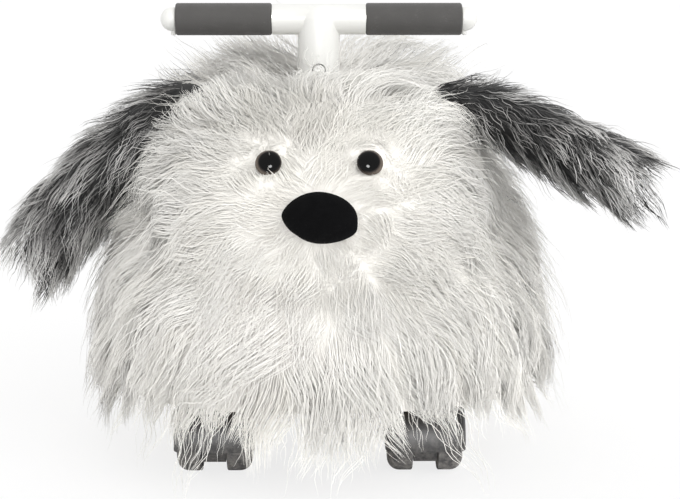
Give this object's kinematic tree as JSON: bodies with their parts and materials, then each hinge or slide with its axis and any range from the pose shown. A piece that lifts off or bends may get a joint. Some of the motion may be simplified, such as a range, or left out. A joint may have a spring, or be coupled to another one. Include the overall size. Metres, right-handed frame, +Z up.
{
  "type": "plush ride on dog",
  "caption": "Shaggy plush dog for a toddler to sit on and scoot, with a T handle behind the head, long floppy ears and twin-wheel swivel casters.",
  "frame": {"origin": "on the floor, under the middle of the object's box", "axes": "+Z up, the dog looks along -Y, its left side at +X"},
  "size_m": [0.4932, 0.4707, 0.3421],
  "materials": {
    "birch_ply": "satin",
    "black_cambric": "matte",
    "upholstery_foam": "matte",
    "white_fur": "matte",
    "charcoal_fur": "matte",
    "black_velour": "matte",
    "eye_plastic": "gloss",
    "washer_plastic": "matte",
    "white_plastic": "satin",
    "grip_foam": "matte",
    "zinc_steel": "satin",
    "caster_nylon": "satin",
    "wheel_plastic": "satin"
  },
  "bodies": {
    "chassis": {"base_board": "birch_ply", "bottom_cloth": "black_cambric", "foam_core": "upholstery_foam", "body_cover": "white_fur", "skirt_band": "white_fur", "head": "white_fur", "nose": "black_velour", "eye_left": "eye_plastic", "eye_right": "eye_plastic", "eye_washer_left": "washer_plastic", "eye_washer_right": "washer_plastic", "post_flange": "white_plastic", "handle_post": "zinc_steel", "handle_tee": "white_plastic", "cross_tube": "zinc_steel", "grip_left": "grip_foam", "grip_right": "grip_foam", "end_cap_left": "white_plastic", "end_cap_right": "white_plastic", "button_spring": "zinc_steel", "caster_plate_front_left": "zinc_steel", "caster_plate_front_right": "zinc_steel", "caster_plate_rear_left": "zinc_steel", "caster_plate_rear_right": "zinc_steel"},
    "lock_button": {"lock_button": "white_plastic"},
    "ear_left": {"ear_left": "charcoal_fur"},
    "ear_right": {"ear_right": "charcoal_fur"},
    "tail": {"tail": "charcoal_fur"},
    "caster_front_left": {"caster_hood_front_left": "caster_nylon", "caster_axle_front_left": "zinc_steel"},
    "wheel_front_left_outboard": {"wheel_front_left_outboard": "wheel_plastic"},
    "wheel_front_left_inboard": {"wheel_front_left_inboard": "wheel_plastic"},
    "caster_front_right": {"caster_hood_front_right": "caster_nylon", "caster_axle_front_right": "zinc_steel"},
    "wheel_front_right_outboard": {"wheel_front_right_outboard": "wheel_plastic"},
    "wheel_front_right_inboard": {"wheel_front_right_inboard": "wheel_plastic"},
    "caster_rear_left": {"caster_hood_rear_left": "caster_nylon", "caster_axle_rear_left": "zinc_steel"},
    "wheel_rear_left_outboard": {"wheel_rear_left_outboard": "wheel_plastic"},
    "wheel_rear_left_inboard": {"wheel_rear_left_inboard": "wheel_plastic"},
    "caster_rear_right": {"caster_hood_rear_right": "caster_nylon", "caster_axle_rear_right": "zinc_steel"},
    "wheel_rear_right_outboard": {"wheel_rear_right_outboard": "wheel_plastic"},
    "wheel_rear_right_inboard": {"wheel_rear_right_inboard": "wheel_plastic"}
  },
  "joints": [
    {"name": "lock_button_press", "type": "slide", "parent": "chassis", "child": "lock_button", "axis": [0, 1, 0], "range_m": [0, 0.003], "stiffness_N_per_m": 600, "springref_m": -0.002, "deforming": ["button_spring"]},
    {"name": "ear_left_flap", "type": "hinge", "parent": "chassis", "child": "ear_left", "pos_m": [0.095, -0.075, 0.272], "axis": [0, -1, 0], "range_deg": [-28, 45]},
    {"name": "ear_right_flap", "type": "hinge", "parent": "chassis", "child": "ear_right", "pos_m": [-0.095, -0.075, 0.272], "axis": [0, 1, 0], "range_deg": [0, 60]},
    {"name": "tail_lift", "type": "hinge", "parent": "chassis", "child": "tail", "pos_m": [0, 0.2015, 0.217], "axis": [1, 0, 0], "range_deg": [0, 50]},
    {"name": "caster_front_left_swivel", "type": "hinge", "parent": "chassis", "child": "caster_front_left", "pos_m": [0.078, -0.098, 0.0545], "axis": [0, 0, 1], "continuous": true},
    {"name": "wheel_front_left_outboard_spin", "type": "hinge", "parent": "caster_front_left", "child": "wheel_front_left_outboard", "pos_m": [0.078, -0.113, 0.025], "axis": [1, 0, 0], "continuous": true},
    {"name": "wheel_front_left_inboard_spin", "type": "hinge", "parent": "caster_front_left", "child": "wheel_front_left_inboard", "pos_m": [0.078, -0.113, 0.025], "axis": [1, 0, 0], "continuous": true},
    {"name": "caster_front_right_swivel", "type": "hinge", "parent": "chassis", "child": "caster_front_right", "pos_m": [-0.078, -0.098, 0.0545], "axis": [0, 0, 1], "continuous": true},
    {"name": "wheel_front_right_outboard_spin", "type": "hinge", "parent": "caster_front_right", "child": "wheel_front_right_outboard", "pos_m": [-0.078, -0.113, 0.025], "axis": [1, 0, 0], "continuous": true},
    {"name": "wheel_front_right_inboard_spin", "type": "hinge", "parent": "caster_front_right", "child": "wheel_front_right_inboard", "pos_m": [-0.078, -0.113, 0.025], "axis": [1, 0, 0], "continuous": true},
    {"name": "caster_rear_left_swivel", "type": "hinge", "parent": "chassis", "child": "caster_rear_left", "pos_m": [0.078, 0.098, 0.0545], "axis": [0, 0, 1], "continuous": true},
    {"name": "wheel_rear_left_outboard_spin", "type": "hinge", "parent": "caster_rear_left", "child": "wheel_rear_left_outboard", "pos_m": [0.078, 0.113, 0.025], "axis": [1, 0, 0], "continuous": true},
    {"name": "wheel_rear_left_inboard_spin", "type": "hinge", "parent": "caster_rear_left", "child": "wheel_rear_left_inboard", "pos_m": [0.078, 0.113, 0.025], "axis": [1, 0, 0], "continuous": true},
    {"name": "caster_rear_right_swivel", "type": "hinge", "parent": "chassis", "child": "caster_rear_right", "pos_m": [-0.078, 0.098, 0.0545], "axis": [0, 0, 1], "continuous": true},
    {"name": "wheel_rear_right_outboard_spin", "type": "hinge", "parent": "caster_rear_right", "child": "wheel_rear_right_outboard", "pos_m": [-0.078, 0.113, 0.025], "axis": [1, 0, 0], "continuous": true},
    {"name": "wheel_rear_right_inboard_spin", "type": "hinge", "parent": "caster_rear_right", "child": "wheel_rear_right_inboard", "pos_m": [-0.078, 0.113, 0.025], "axis": [1, 0, 0], "continuous": true}
  ]
}
